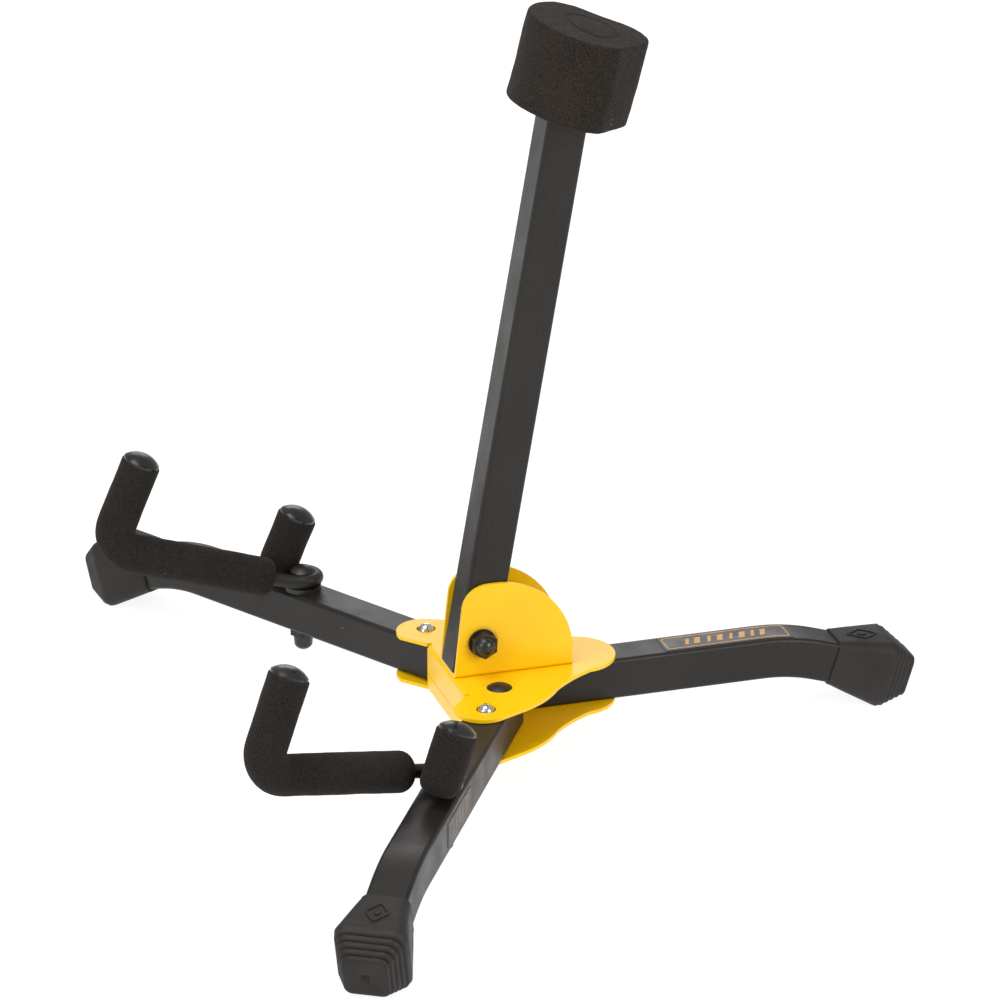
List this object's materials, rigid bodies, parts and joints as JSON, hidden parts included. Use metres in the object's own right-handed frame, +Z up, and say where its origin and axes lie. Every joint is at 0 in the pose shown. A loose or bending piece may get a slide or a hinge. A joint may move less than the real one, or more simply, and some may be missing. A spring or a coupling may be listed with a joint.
{
  "type": "guitar stand",
  "caption": "Compact folding tripod stand for a guitar, with spread front legs carrying padded swivelling yokes and a leaning mast topped by a foam backrest.",
  "frame": {"origin": "centre of the box in plan, on the floor under the feet", "axes": "+Z up, -Y towards the instrument side where the yokes reach out, +X to the right front leg; the rear leg points to +Y"},
  "size_m": [0.433, 0.3278, 0.3185],
  "materials": {
    "powder_coat": "satin powder coat with a fine speckle",
    "yellow_enamel": "glossy yellow enamel",
    "boot_rubber": "matte moulded rubber",
    "black_foam": "matte fine-celled foam",
    "cap_plastic": "glossy moulded plastic",
    "dark_fastener": "semi-gloss black",
    "nylon": "satin black nylon",
    "chrome": "polished",
    "spring_steel": "plain drawn wire",
    "label_print": "dark printed plate with a gold outline"
  },
  "bodies": {
    "hub": {"hub_top_plate": "yellow_enamel", "hub_bottom_plate": "yellow_enamel", "mast_bracket": "yellow_enamel", "hub_rivets": "dark_fastener", "rear_leg": "powder_coat", "rear_foot": "boot_rubber", "rear_leg_label": "label_print", "right_pivot_rivet": "dark_fastener", "left_pivot_rivet": "dark_fastener", "mast_bolt": "dark_fastener", "mast_washer": "dark_fastener", "mast_nut": "dark_fastener", "mast_nut_cap": "cap_plastic"},
    "mast": {"mast_tube": "powder_coat", "mast_bush": "nylon", "backrest_plug": "nylon", "backrest_pad": "black_foam"},
    "right_leg_body": {"right_leg": "powder_coat", "right_foot": "boot_rubber", "right_pivot_bush": "nylon", "right_button_guide": "nylon", "right_button_spring": "spring_steel", "right_yoke_bolt": "dark_fastener", "right_yoke_spacer": "nylon", "right_yoke_nut": "dark_fastener", "right_yoke_nut_cap": "cap_plastic", "right_leg_label": "label_print"},
    "right_yoke_body": {"right_yoke_rod": "powder_coat", "right_arm_foam": "black_foam", "right_prong_foam": "black_foam", "right_front_cap": "cap_plastic", "right_rear_cap": "cap_plastic"},
    "right_button_body": {"right_lock_button": "chrome"},
    "left_leg_body": {"left_leg": "powder_coat", "left_foot": "boot_rubber", "left_pivot_bush": "nylon", "left_button_guide": "nylon", "left_button_spring": "spring_steel", "left_yoke_bolt": "dark_fastener", "left_yoke_spacer": "nylon", "left_yoke_nut": "dark_fastener", "left_yoke_nut_cap": "cap_plastic"},
    "left_yoke_body": {"left_yoke_rod": "powder_coat", "left_arm_foam": "black_foam", "left_prong_foam": "black_foam", "left_front_cap": "cap_plastic", "left_rear_cap": "cap_plastic"},
    "left_button_body": {"left_lock_button": "chrome"}
  },
  "joints": [
    {"name": "mast_fold", "type": "hinge", "parent": "hub", "child": "mast", "pos_m": [0, -0.03022, 0.0521], "axis": [-1, 0, 0], "range_deg": [0, 80]},
    {"name": "right_leg_fold", "type": "hinge", "parent": "hub", "child": "right_leg_body", "pos_m": [0.0234, -0.02682, 0.0265], "axis": [0, 0, 1], "range_deg": [0, 117], "deforming": ["right_button_spring", "right_lock_button"]},
    {"name": "right_yoke_swivel", "type": "hinge", "parent": "right_leg_body", "child": "right_yoke_body", "pos_m": [0.10475, -0.0757, 0.0403], "axis": [0, 0, 1], "range_deg": [-99, 26]},
    {"name": "right_button_press", "type": "slide", "parent": "right_leg_body", "child": "right_button_body", "axis": [0, 0, -1], "range_m": [0, 0.004], "stiffness_N_per_m": 300, "springref_m": -0.003, "deforming": ["right_button_spring"]},
    {"name": "left_leg_fold", "type": "hinge", "parent": "hub", "child": "left_leg_body", "pos_m": [-0.0234, -0.02682, 0.0265], "axis": [0, 0, -1], "range_deg": [0, 117], "deforming": ["left_button_spring", "left_lock_button"]},
    {"name": "left_yoke_swivel", "type": "hinge", "parent": "left_leg_body", "child": "left_yoke_body", "pos_m": [-0.10475, -0.0757, 0.0403], "axis": [0, 0, -1], "range_deg": [-93.5, 31.5]},
    {"name": "left_button_press", "type": "slide", "parent": "left_leg_body", "child": "left_button_body", "axis": [0, 0, -1], "range_m": [0, 0.004], "stiffness_N_per_m": 300, "springref_m": -0.003, "deforming": ["left_button_spring"]}
  ],
  "couplings": [
    {"joint": "right_button_press", "follows": "right_leg_fold", "m_per_rad": 0.00195},
    {"joint": "left_button_press", "follows": "left_leg_fold", "m_per_rad": 0.00195}
  ]
}
